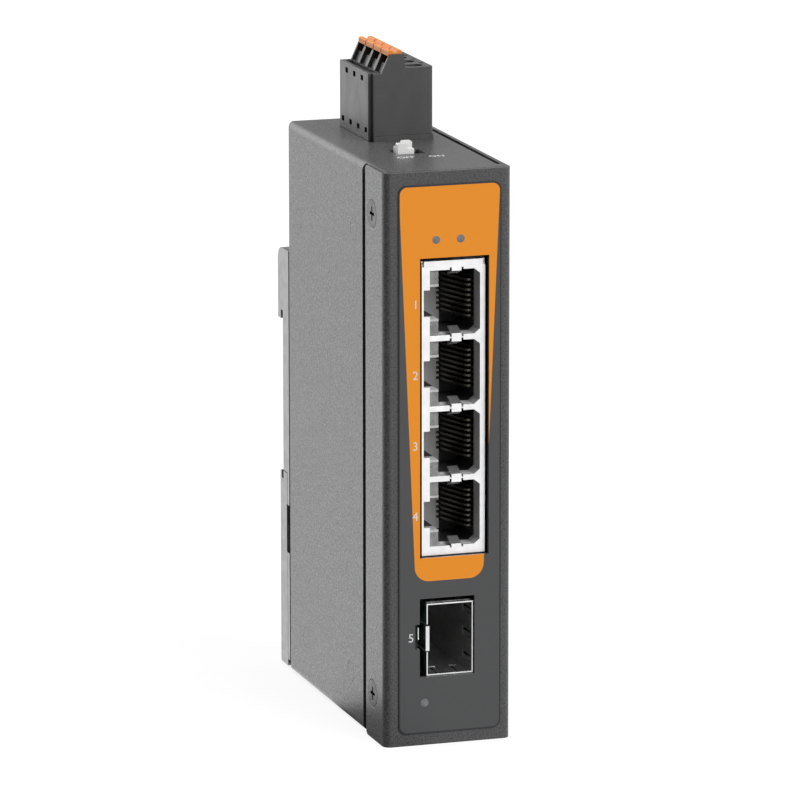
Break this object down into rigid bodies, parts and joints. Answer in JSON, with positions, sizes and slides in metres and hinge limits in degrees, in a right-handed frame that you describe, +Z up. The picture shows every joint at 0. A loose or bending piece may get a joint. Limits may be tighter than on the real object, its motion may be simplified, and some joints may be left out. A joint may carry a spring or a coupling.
{
  "type": "ethernet switch",
  "caption": "Narrow rail-mounted network switch in a folded metal case, with ganged copper ports, a module cage, a pluggable power terminal and a sprung rail latch.",
  "frame": {"origin": "middle of the bottom face of the case, front to back and side to side", "axes": "+X to the right seen from the front, +Y from the front towards the rail, +Z up"},
  "size_m": [0.026, 0.0715, 0.132],
  "materials": {
    "case_paint": "fine-textured dark grey powder coat",
    "foil": "printed polyester foil",
    "dark_screw": "black-zinc-plated steel",
    "board": "green solder resist",
    "zinc_steel": "bright zinc-plated steel",
    "tinned_shield": "bright tinned sheet",
    "black_plastic": "moulded black",
    "grey_plastic": "moulded grey",
    "gold_wire": "gold-plated spring wire",
    "clear_plastic": "cloudy clear",
    "cage_steel": "nickel-plated sheet",
    "terminal_plastic": "moulded black, slightly glossy",
    "tinned_pin": "tinned",
    "copper": "copper alloy",
    "white_plastic": "moulded white",
    "lever_plastic": "moulded orange",
    "bracket_zinc": "galvanised sheet",
    "spring_steel": "spring steel",
    "chip_resin": "moulded resin",
    "can_aluminium": "bright can"
  },
  "bodies": {
    "case": {"body_shell": "case_paint", "front_cover": "case_paint", "front_foil": "foil", "cover_screws": "dark_screw", "circuit_board": "board", "board_standoffs": "zinc_steel", "board_screws": "zinc_steel", "jack_shield": "tinned_shield", "jack_frame": "grey_plastic", "jack_housing": "black_plastic", "jack_carriers": "grey_plastic", "jack_contacts": "gold_wire", "jack_light_pipes": "clear_plastic", "module_cage": "cage_steel", "cage_collar": "cage_steel", "module_connector": "black_plastic", "lamp_pipe": "clear_plastic", "chip_lamps": "clear_plastic", "terminal_header": "terminal_plastic", "header_pins": "tinned_pin", "selector_body": "black_plastic", "rail_bracket": "bracket_zinc", "latch_spring": "spring_steel", "guide_pins": "zinc_steel", "bracket_screws": "zinc_steel", "switch_chip": "chip_resin", "transformers": "chip_resin", "crystal": "zinc_steel", "power_coil": "chip_resin", "power_cans": "can_aluminium", "input_diodes": "chip_resin", "input_fuse": "chip_resin", "module_driver": "chip_resin"},
    "plug": {"terminal_plug": "terminal_plastic", "clamp_contacts": "copper", "clamp_spring_1": "spring_steel", "clamp_spring_2": "spring_steel", "clamp_spring_3": "spring_steel", "clamp_spring_4": "spring_steel"},
    "selector_1": {"selector_slider_1": "white_plastic"},
    "selector_2": {"selector_slider_2": "white_plastic"},
    "latch": {"rail_latch": "bracket_zinc"},
    "lever_1": {"release_lever_1": "lever_plastic"},
    "lever_2": {"release_lever_2": "lever_plastic"},
    "lever_3": {"release_lever_3": "lever_plastic"},
    "lever_4": {"release_lever_4": "lever_plastic"}
  },
  "joints": [
    {"name": "plug_pull", "type": "slide", "parent": "case", "child": "plug", "axis": [0, 0, 1], "range_m": [0, 0.0095]},
    {"name": "lever_1_press", "type": "slide", "parent": "plug", "child": "lever_1", "axis": [0, 0, -1], "range_m": [0, 0.0015], "stiffness_N_per_m": 600, "springref_m": -0.0005, "deforming": ["clamp_spring_1"]},
    {"name": "lever_2_press", "type": "slide", "parent": "plug", "child": "lever_2", "axis": [0, 0, -1], "range_m": [0, 0.0015], "stiffness_N_per_m": 600, "springref_m": -0.0005, "deforming": ["clamp_spring_2"]},
    {"name": "lever_3_press", "type": "slide", "parent": "plug", "child": "lever_3", "axis": [0, 0, -1], "range_m": [0, 0.0015], "stiffness_N_per_m": 600, "springref_m": -0.0005, "deforming": ["clamp_spring_3"]},
    {"name": "lever_4_press", "type": "slide", "parent": "plug", "child": "lever_4", "axis": [0, 0, -1], "range_m": [0, 0.0015], "stiffness_N_per_m": 600, "springref_m": -0.0005, "deforming": ["clamp_spring_4"]},
    {"name": "selector_1_slide", "type": "slide", "parent": "case", "child": "selector_1", "axis": [1, 0, 0], "range_m": [0, 0.00187]},
    {"name": "selector_2_slide", "type": "slide", "parent": "case", "child": "selector_2", "axis": [1, 0, 0], "range_m": [-0.0004, 0.00147]},
    {"name": "latch_slide", "type": "slide", "parent": "case", "child": "latch", "axis": [0, 0, -1], "range_m": [0, 0.002], "stiffness_N_per_m": 1500, "springref_m": -0.001, "deforming": ["latch_spring"]}
  ]
}
